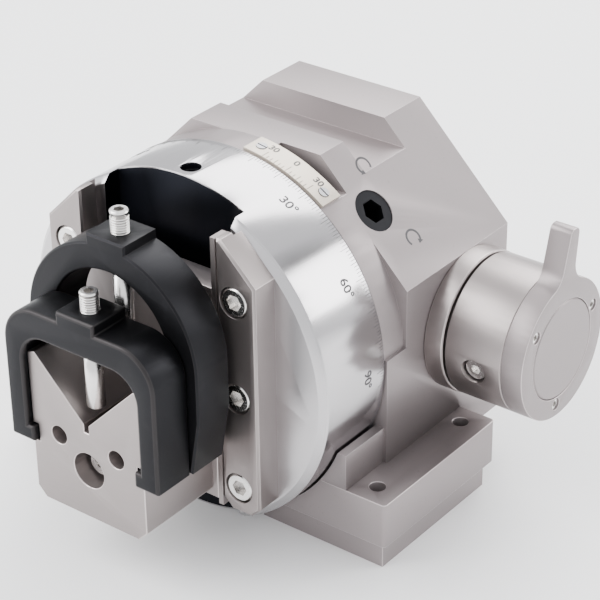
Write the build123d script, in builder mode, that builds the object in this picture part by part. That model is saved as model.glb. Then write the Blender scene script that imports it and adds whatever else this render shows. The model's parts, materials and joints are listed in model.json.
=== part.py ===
from build123d import *
from math import asin, cos, degrees, radians, sin, sqrt
import os

# Rotary V-block grinding fixture: a cast housing carries a spindle with a graduated drum.
# A slide on the drum face carries a V-block with two clamping yokes.
# Origin: centre of the base's bottom face. +X towards the handwheel, -Y towards the V-block.

# ---- driving dimensions, in millimetres ----
SPINDLE_Z = 50.8
DRUM_R = 50.0
DRUM_FRONT, DRUM_BACK = -35.4, -9.4
FLAT_GAP = 0.3

BASE_W, BASE_D, BASE_TOP = 124.0, 51.8, 21.3
PLINTH_H, PLINTH_INSET = 8.0, 2.0
BASE_HOLE_R, BASE_HOLE_DX, BASE_HOLE_DY = 2.25, 110.0, 38.8

BODY_HALF_W = 50.5
BODY_BACK = 47.0
BODY_UNDERSIDE = 12.0
SKIRT_TOP = 32.0
COLLAR_FRONT, BLOCK_FRONT = -9.1, -0.6
COLLAR_R = 49.6
LEDGE_Z = 52.8
SHOULDER_Z, CREST_Z, CREST_HALF_W = 69.8, 99.5, 20.8
SADDLE_FRONT, SADDLE_BACK, SADDLE_Z = 11.8, 30.2, 92.4

CHANNEL_HALF_W, CHANNEL_DEPTH = 21.0, 5.5
SHAFT_R, REAR_SHAFT_R, THREAD_R = 15.0, 10.0, 8.0
CAVITY_R, CAVITY_FRONT = 33.5, 14.0

WHEEL_Y, WHEEL_Z = 27.5, 49.8
WHEEL_R = 20.0
RING_END, HUB_START, HUB_END, WHEEL_END = 56.4, 57.1, 74.5, 81.0
CROSS_SHAFT_R = 5.0

MODULE = 1.25
PINION_TEETH, CROWN_TEETH = 12, 44
PINION_PITCH_R = MODULE * PINION_TEETH / 2
ADDENDUM, DEDENDUM = 1.0, 1.5
CROWN_INNER_R, CROWN_OUTER_R, CROWN_TOOTH_W = 26.0, 30.0, 1.3

V_HALF_W = 19.0
V_FRONT, V_TOP, V_BOTTOM, V_APEX, V_MOUTH, V_CORNER = -69.9, 10.5, -34.0, -6.2, 16.7, 2.8
SLIDE_FRONT, SLIDE_TOP = -43.4, 29.5
HOOK_LOW, HOOK_HIGH, HOOK_REACH = -16.3, -11.8, 17.3
GUIDE_INNER, GUIDE_OUTER, GUIDE_TOP, GUIDE_BOTTOM = 22.4, 34.6, 44.0, -35.5
GUIDE_STEP_W, GUIDE_STEP_D = 2.0, 3.0
GUIDE_SCREW_X, GUIDE_SCREW_Z = 27.8, (27.5, -0.5, -28.0)

FRONT_YOKE_Y, FRONT_YOKE_D = -71.7, 12.4
REAR_YOKE_Y, REAR_YOKE_D = -59.0, 12.1
CLAMP_R, CLAMP_SCREW_R = 2.5, 6.0
CLAMP_Y = 6.5
RUNNING = 0.05

os.makedirs("parts", exist_ok=True)


def save(part, name):
    """Labels a finished piece and writes its STEP file."""
    part.label = name
    export_step(part, f"parts/{name}.step")


def face_at(y):
    """Plane facing the front at depth y, centred on the spindle axis: local x = X, local y = Z."""
    return Plane(origin=(0, y, SPINDLE_Z), x_dir=(1, 0, 0), z_dir=(0, -1, 0))


def side_at(x, y=WHEEL_Y, z=WHEEL_Z):
    """Plane facing +X at x, centred on the handwheel axis: local x = Y, local y = Z."""
    return Plane(origin=(x, y, z), x_dir=(0, 1, 0), z_dir=(1, 0, 0))


def grub_screw(radius, length, hex_af):
    """Headless socket screw along +Z with its socket end at z = 0 and a pointed tip."""
    with BuildPart() as body:
        with BuildSketch():
            Circle(radius)
        extrude(amount=-length)
        chamfer(body.edges().group_by(Axis.Z)[-1], 0.12 * radius)
        chamfer(body.edges().group_by(Axis.Z)[0], 0.35 * radius)
        with BuildSketch():
            RegularPolygon(hex_af / sqrt(3), 6)
        extrude(amount=-1.3 * radius, mode=Mode.SUBTRACT)
    return body.part


# ---- housing ----
CLAMP_REACH = (BODY_HALF_W + SHOULDER_Z - SPINDLE_Z) / sqrt(2)
CLAMP_DIR = (sin(radians(45)), 0, cos(radians(45)))
COVER_SCREW_R = 35.8
RING_SCREW_PCR = 14.5


def clamp_plane(reach):
    """Plane square to the clamp screw, at a given reach from the spindle axis."""
    origin = (reach * CLAMP_DIR[0], CLAMP_Y, SPINDLE_Z + reach * CLAMP_DIR[2])
    return Plane(origin=origin, x_dir=(0, 1, 0), z_dir=CLAMP_DIR)


with BuildPart() as housing:
    with BuildSketch():
        Rectangle(BASE_W - 2 * PLINTH_INSET, BASE_D - 2 * PLINTH_INSET)
    extrude(amount=PLINTH_H)
    with BuildSketch(Plane.XY.offset(PLINTH_H)):
        RectangleRounded(BASE_W, BASE_D, 1.2)
    extrude(amount=BASE_TOP - PLINTH_H)
    # low front skirt under the drum, then the lower body up to the ledge
    with BuildSketch(face_at(-BASE_D / 2)):
        with BuildLine():
            Polyline(
                (-BODY_HALF_W + 1, PLINTH_H - SPINDLE_Z),
                (BODY_HALF_W - 1, PLINTH_H - SPINDLE_Z),
                (BODY_HALF_W - 1, SKIRT_TOP - SPINDLE_Z),
                (-BODY_HALF_W + 1, SKIRT_TOP - SPINDLE_Z),
                close=True,
            )
        make_face()
    extrude(amount=-(COLLAR_FRONT + BASE_D / 2))
    with BuildSketch(face_at(COLLAR_FRONT)):
        with Locations((0, (LEDGE_Z + BODY_UNDERSIDE) / 2 - SPINDLE_Z)):
            Rectangle(2 * BODY_HALF_W, LEDGE_Z - BODY_UNDERSIDE)
        Circle(COLLAR_R)
        with Locations((0, BODY_UNDERSIDE - SPINDLE_Z - DRUM_R)):
            Rectangle(4 * DRUM_R, 2 * DRUM_R, mode=Mode.SUBTRACT)
    extrude(amount=-(BLOCK_FRONT - COLLAR_FRONT))
    # main block with 45 degree shoulders
    with BuildSketch(face_at(BLOCK_FRONT)):
        with BuildLine():
            Polyline(
                (-BODY_HALF_W, BODY_UNDERSIDE - SPINDLE_Z),
                (BODY_HALF_W, BODY_UNDERSIDE - SPINDLE_Z),
                (BODY_HALF_W, SHOULDER_Z - SPINDLE_Z),
                (CREST_HALF_W, CREST_Z - SPINDLE_Z),
                (-CREST_HALF_W, CREST_Z - SPINDLE_Z),
                (-BODY_HALF_W, SHOULDER_Z - SPINDLE_Z),
                close=True,
            )
        make_face()
    extrude(amount=-(BODY_BACK - BLOCK_FRONT))
    # saddle across the crest
    with BuildSketch(Plane.YZ):
        with Locations(((SADDLE_FRONT + SADDLE_BACK) / 2, (SADDLE_Z + CREST_Z + 10) / 2)):
            Rectangle(SADDLE_BACK - SADDLE_FRONT, CREST_Z + 10 - SADDLE_Z)
    extrude(amount=BODY_HALF_W, both=True, mode=Mode.SUBTRACT)
    # relief for the drum, with a clear notch where it would thin out
    with BuildSketch(face_at(-BASE_D / 2 - 1)):
        Circle(DRUM_R + 0.5)
        with Locations((0, -DRUM_R)):
            Rectangle(40, 20)
    extrude(amount=-(COLLAR_FRONT + BASE_D / 2 + 1), mode=Mode.SUBTRACT)
    # spindle bore, bearing seat, gear cavity open at the back
    with BuildSketch(face_at(COLLAR_FRONT)):
        Circle(20)
    extrude(amount=-9.6, mode=Mode.SUBTRACT)
    with BuildSketch(face_at(0)):
        Circle(SHAFT_R + 0.6)
    extrude(amount=-CAVITY_FRONT, mode=Mode.SUBTRACT)
    with BuildSketch(face_at(CAVITY_FRONT)):
        Circle(CAVITY_R)
    extrude(amount=-(BODY_BACK - CAVITY_FRONT), mode=Mode.SUBTRACT)
    with BuildSketch(face_at(BODY_BACK)):
        with PolarLocations(COVER_SCREW_R, 6, start_angle=30):
            Circle(1.25)
    extrude(amount=8, mode=Mode.SUBTRACT)
    # cross-shaft bore and clamp bore
    with BuildSketch(side_at(BODY_HALF_W)):
        Circle(9)
    extrude(amount=-20, mode=Mode.SUBTRACT)
    with BuildSketch(clamp_plane(CLAMP_REACH)):
        Circle(CLAMP_SCREW_R + RUNNING)
    extrude(amount=-(CLAMP_REACH - SHAFT_R + 2), mode=Mode.SUBTRACT)
    # relief in front of the block for the vernier plate, and the four base holes
    with BuildSketch(face_at(BLOCK_FRONT)):
        with BuildLine():
            Polyline((8, 40), (8, 52), (23.5, 52), (33, 40), close=True)
        make_face()
    extrude(amount=-2.4, mode=Mode.SUBTRACT)
    with BuildSketch():
        with GridLocations(BASE_HOLE_DX, BASE_HOLE_DY, 2, 2):
            Circle(BASE_HOLE_R)
    extrude(amount=BASE_TOP, mode=Mode.SUBTRACT)
    # screw holes for the handwheel ring and the vernier plate
    with BuildSketch(side_at(BODY_HALF_W)):
        with PolarLocations(RING_SCREW_PCR, 3, start_angle=90):
            Circle(1.25)
    extrude(amount=-8, mode=Mode.SUBTRACT)

# the housing is kept as two pieces: the flanged plate, and the body that stands on it
with BuildPart() as base_plate:
    add(housing.part)
    with BuildSketch():
        Rectangle(BASE_W, BASE_D)
    extrude(amount=BASE_TOP, mode=Mode.INTERSECT)

with BuildPart() as base_body:
    add(housing.part)
    with BuildSketch():
        Rectangle(BASE_W, BASE_D)
    extrude(amount=BASE_TOP, mode=Mode.SUBTRACT)

# ---- vernier plate: a curved strip on the collar, with two small screws ----
VERNIER_R, VERNIER_T = COLLAR_R, 0.9
VERNIER_START, VERNIER_END = 4.5, 36.0
VERNIER_FRONT, VERNIER_W = COLLAR_FRONT + 0.2, 7.6
VERNIER_SCREW_ANGLES = (8.0, 32.5)


def rim_plane(angle, radius, y):
    """Plane square to the rim at an angle clockwise from the top, as seen from the front."""
    out = (sin(radians(angle)), 0, cos(radians(angle)))
    origin = (radius * out[0], y, SPINDLE_Z + radius * out[2])
    return Plane(origin=origin, x_dir=(0, 1, 0), z_dir=out)


VERNIER_SCREW_Y = VERNIER_FRONT + VERNIER_W / 2
with BuildPart() as vernier_plate:
    with BuildSketch(face_at(VERNIER_FRONT)):
        with BuildLine():
            inner = CenterArc((0, 0), VERNIER_R, 90 - VERNIER_END, VERNIER_END - VERNIER_START)
            outer = CenterArc((0, 0), VERNIER_R + VERNIER_T, 90 - VERNIER_END, VERNIER_END - VERNIER_START)
            Line(inner @ 0, outer @ 0)
            Line(inner @ 1, outer @ 1)
        make_face()
    extrude(amount=-VERNIER_W)
    for angle in VERNIER_SCREW_ANGLES:
        with BuildSketch(rim_plane(angle, VERNIER_R + 2, VERNIER_SCREW_Y)):
            Circle(1.6)
        extrude(amount=-3, mode=Mode.SUBTRACT)

with BuildPart() as vernier_screws:
    for angle in VERNIER_SCREW_ANGLES:
        with BuildSketch(rim_plane(angle, VERNIER_R + 0.02, VERNIER_SCREW_Y)):
            Circle(1.5)
        extrude(amount=1.1)
        with BuildSketch(rim_plane(angle, VERNIER_R + 1.12, VERNIER_SCREW_Y)):
            Rectangle(0.5, 4)
        extrude(amount=-0.5, mode=Mode.SUBTRACT)

# ---- bearings, rear cover and clamp ----
with BuildPart() as front_bearing:
    with BuildSketch(face_at(COLLAR_FRONT + 0.5)):
        Circle(20)
        Circle(SHAFT_R + RUNNING, mode=Mode.SUBTRACT)
    extrude(amount=-9.1)

COVER_R, COVER_T, COVER_SPIGOT = 38.6, 3.2, 6.0
REAR_BEARING_R = 14.0
with BuildPart() as rear_cover:
    with BuildSketch(face_at(BODY_BACK)):
        Circle(COVER_R)
    extrude(amount=-COVER_T)
    chamfer(rear_cover.edges().group_by(Axis.Y)[-1], 0.5)
    with BuildSketch(face_at(BODY_BACK)):
        Circle(CAVITY_R)
    extrude(amount=COVER_SPIGOT)
    with BuildSketch(face_at(BODY_BACK - COVER_SPIGOT)):
        Circle(REAR_BEARING_R)
    extrude(amount=-(COVER_T + COVER_SPIGOT), mode=Mode.SUBTRACT)
    with BuildSketch(face_at(BODY_BACK + COVER_T)):
        with PolarLocations(COVER_SCREW_R, 6, start_angle=30):
            Circle(1.6)
    extrude(amount=2 * COVER_T, mode=Mode.SUBTRACT)

with BuildPart() as rear_cover_screws:
    with BuildSketch(face_at(BODY_BACK + COVER_T)):
        with PolarLocations(COVER_SCREW_R, 6, start_angle=30):
            Circle(2.2)
    extrude(amount=-1.6)
    with BuildSketch(face_at(BODY_BACK + COVER_T)):
        with PolarLocations(COVER_SCREW_R, 6, start_angle=30):
            Circle(1.2)
    extrude(amount=COVER_T + 7)
    with BuildSketch(face_at(BODY_BACK + COVER_T + 1.6)):
        with PolarLocations(COVER_SCREW_R, 6, start_angle=30):
            RegularPolygon(1.2, 6)
    extrude(amount=1.1, mode=Mode.SUBTRACT)

with BuildPart() as rear_bearing:
    with BuildSketch(face_at(BODY_BACK - COVER_SPIGOT)):
        Circle(REAR_BEARING_R)
        Circle(REAR_SHAFT_R + RUNNING, mode=Mode.SUBTRACT)
    extrude(amount=-(COVER_T + COVER_SPIGOT))

SHOE_TOP = 30.0
with BuildPart() as clamp_shoe:
    with BuildSketch(clamp_plane(SHOE_TOP)):
        Circle(CLAMP_SCREW_R - 0.3)
    extrude(amount=-(SHOE_TOP - SHAFT_R + 2))
    with BuildSketch(face_at(0)):
        Circle(SHAFT_R + 0.9)
    extrude(amount=-CAVITY_FRONT, mode=Mode.SUBTRACT)

with BuildPart() as clamp_screw:
    with BuildSketch(clamp_plane(CLAMP_REACH - 0.3)):
        Circle(CLAMP_SCREW_R)
    extrude(amount=-(CLAMP_REACH - 0.3 - SHOE_TOP - FLAT_GAP))
    with BuildSketch(clamp_plane(CLAMP_REACH - 0.3)):
        RegularPolygon(6 / sqrt(3), 6)
    extrude(amount=-7, mode=Mode.SUBTRACT)

# ---- handwheel ring, bush and washer, fixed to the housing ----
with BuildPart() as wheel_ring:
    with BuildSketch(side_at(BODY_HALF_W)):
        Circle(WHEEL_R + 0.2)
        Circle(9, mode=Mode.SUBTRACT)
    extrude(amount=RING_END - BODY_HALF_W)
    chamfer(wheel_ring.edges().filter_by(GeomType.CIRCLE).sort_by(SortBy.RADIUS)[-2:], 0.3)
    with BuildSketch(side_at(RING_END)):
        with PolarLocations(RING_SCREW_PCR, 3, start_angle=90):
            Circle(1.6)
    extrude(amount=-10, mode=Mode.SUBTRACT)
    with BuildSketch(side_at(RING_END)):
        with PolarLocations(RING_SCREW_PCR, 3, start_angle=90):
            Circle(2.9)
    extrude(amount=-3.2, mode=Mode.SUBTRACT)

with BuildPart() as wheel_ring_screws:
    with BuildSketch(side_at(RING_END - 3.2)):
        with PolarLocations(RING_SCREW_PCR, 3, start_angle=90):
            Circle(2.75)
    extrude(amount=3.0)
    with BuildSketch(side_at(RING_END - 3.2)):
        with PolarLocations(RING_SCREW_PCR, 3, start_angle=90):
            Circle(1.2)
    extrude(amount=-9)
    with BuildSketch(side_at(RING_END - 0.2)):
        with PolarLocations(RING_SCREW_PCR, 3, start_angle=90):
            RegularPolygon(2.5 / sqrt(3), 6)
    extrude(amount=-1.6, mode=Mode.SUBTRACT)

with BuildPart() as friction_washer:
    with BuildSketch(side_at(RING_END)):
        Circle(WHEEL_R - 1.3)
        Circle(CROSS_SHAFT_R + 1, mode=Mode.SUBTRACT)
    extrude(amount=HUB_START - RING_END - FLAT_GAP)

BUSH_START = 36.0
with BuildPart() as shaft_bush:
    with BuildSketch(side_at(BUSH_START)):
        Circle(9)
        Circle(CROSS_SHAFT_R + RUNNING, mode=Mode.SUBTRACT)
    extrude(amount=RING_END - BUSH_START)

# ---- spindle: drum, shaft, crown gear and nut ----
DRUM_SCREW_OFFSET = 8.0
SPIGOT_D = 4.0
with BuildPart() as graduated_drum:
    with BuildSketch(face_at(DRUM_FRONT)):
        Circle(DRUM_R)
    extrude(amount=-(DRUM_BACK - DRUM_FRONT))
    chamfer(graduated_drum.edges().group_by(Axis.Y)[0], 2.0)
    chamfer(graduated_drum.edges().group_by(Axis.Y)[-1], 0.3)
    with BuildSketch(face_at(DRUM_FRONT)):
        Rectangle(2 * CHANNEL_HALF_W, 3 * DRUM_R)
    extrude(amount=-CHANNEL_DEPTH, mode=Mode.SUBTRACT)
    with BuildSketch(face_at(DRUM_BACK)):
        Circle(SHAFT_R)
    extrude(amount=SPIGOT_D, mode=Mode.SUBTRACT)
    with BuildSketch(face_at(DRUM_FRONT + CHANNEL_DEPTH)):
        with GridLocations(2 * DRUM_SCREW_OFFSET, 2 * DRUM_SCREW_OFFSET, 2, 2):
            Circle(2.7)
    extrude(amount=-20, mode=Mode.SUBTRACT)
    with BuildSketch(face_at(DRUM_FRONT + CHANNEL_DEPTH)):
        with GridLocations(2 * DRUM_SCREW_OFFSET, 2 * DRUM_SCREW_OFFSET, 2, 2):
            Circle(4.5)
    extrude(amount=-5.5, mode=Mode.SUBTRACT)
    with BuildSketch(rim_plane(0, DRUM_R + 1, -25.4)):
        Circle(2.8)
    extrude(amount=-15, mode=Mode.SUBTRACT)
    for sign in (-1, 1):
        with BuildSketch(face_at(DRUM_FRONT)):
            with Locations([(sign * GUIDE_SCREW_X, z) for z in GUIDE_SCREW_Z]):
                Circle(2.1)
        extrude(amount=-12, mode=Mode.SUBTRACT)

with BuildPart() as drum_screws:
    with BuildSketch(face_at(DRUM_FRONT + CHANNEL_DEPTH + 0.5)):
        with GridLocations(2 * DRUM_SCREW_OFFSET, 2 * DRUM_SCREW_OFFSET, 2, 2):
            Circle(4.25)
    extrude(amount=-5.0)
    with BuildSketch(face_at(DRUM_FRONT + CHANNEL_DEPTH + 0.5)):
        with GridLocations(2 * DRUM_SCREW_OFFSET, 2 * DRUM_SCREW_OFFSET, 2, 2):
            Circle(2.5)
    extrude(amount=-23.0)
    with BuildSketch(face_at(DRUM_FRONT + CHANNEL_DEPTH + 0.5)):
        with GridLocations(2 * DRUM_SCREW_OFFSET, 2 * DRUM_SCREW_OFFSET, 2, 2):
            RegularPolygon(4 / sqrt(3), 6)
    extrude(amount=-2.6, mode=Mode.SUBTRACT)

with BuildPart() as drum_grub_screw:
    with BuildSketch(rim_plane(0, DRUM_R - 1.6, -25.4)):
        Circle(2.75)
    extrude(amount=-10)
    with BuildSketch(rim_plane(0, DRUM_R - 1.6, -25.4)):
        RegularPolygon(2.5 / sqrt(3), 6)
    extrude(amount=-3, mode=Mode.SUBTRACT)

CROWN_SEAT_R, CROWN_BACK = 12.0, 20.0
PITCH_Y = WHEEL_Y - PINION_PITCH_R
CROWN_ROOT = PITCH_Y - DEDENDUM
SHAFT_END = 58.0
THREAD_START = BODY_BACK + COVER_T + FLAT_GAP
with BuildPart() as spindle_shaft:
    with BuildSketch(face_at(DRUM_BACK - SPIGOT_D)):
        Circle(SHAFT_R)
    extrude(amount=-(CAVITY_FRONT + 0.3 - DRUM_BACK + SPIGOT_D))
    with BuildSketch(face_at(CAVITY_FRONT)):
        Circle(CROWN_SEAT_R)
    extrude(amount=-(CROWN_BACK - CAVITY_FRONT))
    with BuildSketch(face_at(CROWN_BACK)):
        Circle(REAR_SHAFT_R)
    extrude(amount=-(THREAD_START - CROWN_BACK))
    with BuildSketch(face_at(THREAD_START)):
        Circle(THREAD_R)
    extrude(amount=-(SHAFT_END - THREAD_START))
    chamfer(spindle_shaft.edges().group_by(Axis.Y)[-1], 0.8)
    with BuildSketch(face_at(DRUM_BACK - SPIGOT_D)):
        with GridLocations(2 * DRUM_SCREW_OFFSET, 2 * DRUM_SCREW_OFFSET, 2, 2):
            Circle(2.5)
    extrude(amount=-10, mode=Mode.SUBTRACT)

with BuildPart() as crown_gear:
    with BuildSketch(face_at(CAVITY_FRONT + 0.3)):
        Circle(CROWN_OUTER_R + 0.5)
        Circle(CROWN_SEAT_R, mode=Mode.SUBTRACT)
    extrude(amount=-(CROWN_ROOT - CAVITY_FRONT - 0.3))
    # a gap between two teeth faces the cross shaft, half a pitch from each neighbour
    mean_r = (CROWN_INNER_R + CROWN_OUTER_R) / 2
    mesh_angle = degrees(asin((WHEEL_Z - SPINDLE_Z) / mean_r))
    with BuildSketch(face_at(CROWN_ROOT - 0.2)):
        with PolarLocations(mean_r, CROWN_TEETH, start_angle=mesh_angle + 180 / CROWN_TEETH):
            Rectangle(CROWN_OUTER_R - CROWN_INNER_R, CROWN_TOOTH_W)
    extrude(amount=-(ADDENDUM + DEDENDUM + 0.2))

with BuildPart() as thrust_washer:
    with BuildSketch(face_at(THREAD_START)):
        Circle(13)
        Circle(THREAD_R, mode=Mode.SUBTRACT)
    extrude(amount=-1.5)

with BuildPart() as lock_nut:
    with BuildSketch(face_at(THREAD_START + 1.5)):
        Circle(12.5)
        Circle(THREAD_R, mode=Mode.SUBTRACT)
        with PolarLocations(12.5, 4, start_angle=45):
            Rectangle(3, 4, mode=Mode.SUBTRACT)
    extrude(amount=-5)
    chamfer(lock_nut.edges().filter_by(GeomType.CIRCLE).group_by(Axis.Y)[-1], 0.5)

# ---- guides on the drum face ----


def guide_profile(sign):
    """Outline of one guide: a bar with a 45 degree top corner and rounded bottom corners."""
    inner, outer = sign * GUIDE_INNER, sign * GUIDE_OUTER
    corner = GUIDE_OUTER - GUIDE_INNER - 1.5
    with BuildSketch(Plane.XY) as profile:
        with BuildLine():
            Polyline(
                (inner, GUIDE_BOTTOM + 3),
                (inner, GUIDE_TOP),
                (inner + sign * 1.5, GUIDE_TOP),
                (outer, GUIDE_TOP - corner),
                (outer, GUIDE_BOTTOM + 3),
                (outer - sign * 3, GUIDE_BOTTOM),
                (inner + sign * 3, GUIDE_BOTTOM),
                close=True,
            )
        make_face()
    return profile.sketch


def guide(sign):
    """One guide with its counterbored holes and the step that holds the slide's flange."""
    thickness = DRUM_FRONT - SLIDE_FRONT
    with BuildPart() as bar:
        with BuildSketch(face_at(SLIDE_FRONT)):
            add(guide_profile(sign))
        extrude(amount=-thickness)
        chamfer(bar.faces().sort_by(Axis.Y)[0].edges(), 0.6)
        with BuildSketch(face_at(DRUM_FRONT - GUIDE_STEP_D)):
            with Locations((sign * GUIDE_INNER, 0)):
                Rectangle(2 * GUIDE_STEP_W, 3 * DRUM_R)
        extrude(amount=-GUIDE_STEP_D, mode=Mode.SUBTRACT)
        for radius, depth in ((2.7, thickness), (4.4, 4.8)):
            with BuildSketch(face_at(SLIDE_FRONT)):
                with Locations([(sign * GUIDE_SCREW_X, z) for z in GUIDE_SCREW_Z]):
                    Circle(radius)
            extrude(amount=-depth, mode=Mode.SUBTRACT)
    return bar.part


left_guide = guide(-1)
right_guide = guide(1)

with BuildPart() as guide_screws:
    spots = [(sign * GUIDE_SCREW_X, z) for sign in (-1, 1) for z in GUIDE_SCREW_Z]
    with BuildSketch(face_at(SLIDE_FRONT + 4.8)):
        with Locations(spots):
            Circle(4.0)
    extrude(amount=4.6)
    chamfer(guide_screws.edges().group_by(Axis.Y)[0], 0.4)
    with BuildSketch(face_at(SLIDE_FRONT + 4.8)):
        with Locations(spots):
            Circle(2.0)
    extrude(amount=-14)
    with BuildSketch(face_at(SLIDE_FRONT + 0.2)):
        with Locations(spots):
            RegularPolygon(4 / sqrt(3), 6)
    extrude(amount=-2.6, mode=Mode.SUBTRACT)

GIB_T = 1.5
with BuildPart() as gib_strip:
    with BuildSketch(face_at(SLIDE_FRONT)):
        with Locations((GUIDE_INNER - GIB_T / 2, (GUIDE_TOP + GUIDE_BOTTOM) / 2)):
            Rectangle(GIB_T, GUIDE_TOP - GUIDE_BOTTOM)
    extrude(amount=-(DRUM_FRONT - SLIDE_FRONT - GUIDE_STEP_D - 0.2))

# ---- carriage: slide block, V-block and its screw ----
FLANGE_HALF_W = GUIDE_INNER + GUIDE_STEP_W - 0.3
SLIDE_RIGHT = GUIDE_INNER - GIB_T - RUNNING
SLIDE_LEFT = -(GUIDE_INNER - RUNNING)
V_SCREW_Z = -19.3
with BuildPart() as slide_block:
    slide_mid, slide_h = (SLIDE_TOP + V_BOTTOM) / 2, SLIDE_TOP - V_BOTTOM
    with BuildSketch(face_at(SLIDE_FRONT)):
        with Locations(((SLIDE_LEFT + SLIDE_RIGHT) / 2, slide_mid)):
            Rectangle(SLIDE_RIGHT - SLIDE_LEFT, slide_h)
    extrude(amount=-(DRUM_FRONT - SLIDE_FRONT - RUNNING))
    with BuildSketch(face_at(DRUM_FRONT - GUIDE_STEP_D + RUNNING)):
        with Locations((0, slide_mid)):
            Rectangle(2 * FLANGE_HALF_W, slide_h)
    extrude(amount=-(GUIDE_STEP_D - 2 * RUNNING))
    with BuildSketch(face_at(SLIDE_FRONT)):
        with Locations((0, V_SCREW_Z)):
            Circle(2.0)
    extrude(amount=-12, mode=Mode.SUBTRACT)

GROOVE_HALF_W = HOOK_REACH - 0.3
V_HOLE_X, V_HOLE_Z, V_HOLE_R = 9.8, -12.1, 2.6
with BuildPart() as v_block:
    with BuildSketch(face_at(V_FRONT)):
        with BuildLine():
            Polyline(
                (0, V_APEX),
                (V_MOUTH, V_TOP),
                (V_HALF_W, V_TOP - 0.6),
                (V_HALF_W, V_BOTTOM + V_CORNER),
                (V_HALF_W - V_CORNER, V_BOTTOM),
                (-V_HALF_W + V_CORNER, V_BOTTOM),
                (-V_HALF_W, V_BOTTOM + V_CORNER),
                (-V_HALF_W, V_TOP - 0.6),
                (-V_MOUTH, V_TOP),
                close=True,
            )
        make_face()
        for sign in (-1, 1):
            with Locations((sign * V_HALF_W, (HOOK_LOW + HOOK_HIGH) / 2)):
                Rectangle(2 * (V_HALF_W - GROOVE_HALF_W), HOOK_HIGH - HOOK_LOW + 0.6, mode=Mode.SUBTRACT)
        with Locations((0, V_APEX)):
            Rectangle(1.6, 3.2, mode=Mode.SUBTRACT)
    extrude(amount=-(SLIDE_FRONT - V_FRONT))
    with BuildSketch(face_at(V_FRONT)):
        with Locations((-V_HOLE_X, V_HOLE_Z), (V_HOLE_X, V_HOLE_Z)):
            Circle(V_HOLE_R)
    extrude(amount=-14, mode=Mode.SUBTRACT)
    for radius, depth in ((2.2, SLIDE_FRONT - V_FRONT), (5.1, 8.5)):
        with BuildSketch(face_at(V_FRONT)):
            with Locations((0, V_SCREW_Z)):
                Circle(radius)
        extrude(amount=-depth, mode=Mode.SUBTRACT)

with BuildPart() as v_block_screw:
    with BuildSketch(face_at(V_FRONT + 8.5)):
        with Locations((0, V_SCREW_Z)):
            Circle(3.6)
    extrude(amount=4.2)
    chamfer(v_block_screw.edges().group_by(Axis.Y)[0], 0.4)
    with BuildSketch(face_at(V_FRONT + 8.5)):
        with Locations((0, V_SCREW_Z)):
            Circle(2.0)
    extrude(amount=-24)
    with BuildSketch(face_at(V_FRONT + 4.3)):
        with Locations((0, V_SCREW_Z)):
            RegularPolygon(3 / sqrt(3), 6)
    extrude(amount=-2.5, mode=Mode.SUBTRACT)

# ---- yokes and their clamp screws ----
INNER_HALF_W = V_HALF_W + 0.3
BOSS_HALF_W = 6.4


FRONT_TOP, FRONT_BOSS, FRONT_CROWN = 23.8, 26.6, 16.0
FRONT_HALF_W, FRONT_OUT_R, FRONT_IN_R = 25.2, 11.0, 8.0
with BuildSketch() as front_window:
    with Locations((0, (FRONT_CROWN + HOOK_HIGH) / 2)):
        Rectangle(2 * INNER_HALF_W, FRONT_CROWN - HOOK_HIGH)
    fillet(front_window.vertices().group_by(Axis.Y)[-1], FRONT_IN_R)
    with Locations((0, HOOK_HIGH - 4)):
        Rectangle(2 * HOOK_REACH, 10)

with BuildPart() as front_yoke:
    with BuildSketch(face_at(FRONT_YOKE_Y)) as front_outline:
        with Locations((0, (FRONT_TOP + HOOK_LOW) / 2)):
            Rectangle(2 * FRONT_HALF_W, FRONT_TOP - HOOK_LOW)
        fillet(front_outline.vertices().group_by(Axis.Y)[-1], FRONT_OUT_R)
        with Locations((0, FRONT_BOSS - 4)):
            Rectangle(2 * BOSS_HALF_W, 8)
        add(front_window.sketch, mode=Mode.SUBTRACT)
    extrude(amount=-FRONT_YOKE_D)
    chamfer(front_yoke.faces().sort_by(Axis.Y)[0].edges(), 0.5)
    with BuildSketch(Plane(origin=(0, FRONT_YOKE_Y + FRONT_YOKE_D / 2, SPINDLE_Z))):
        Circle(CLAMP_R + RUNNING)
    extrude(amount=40, mode=Mode.SUBTRACT)

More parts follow.
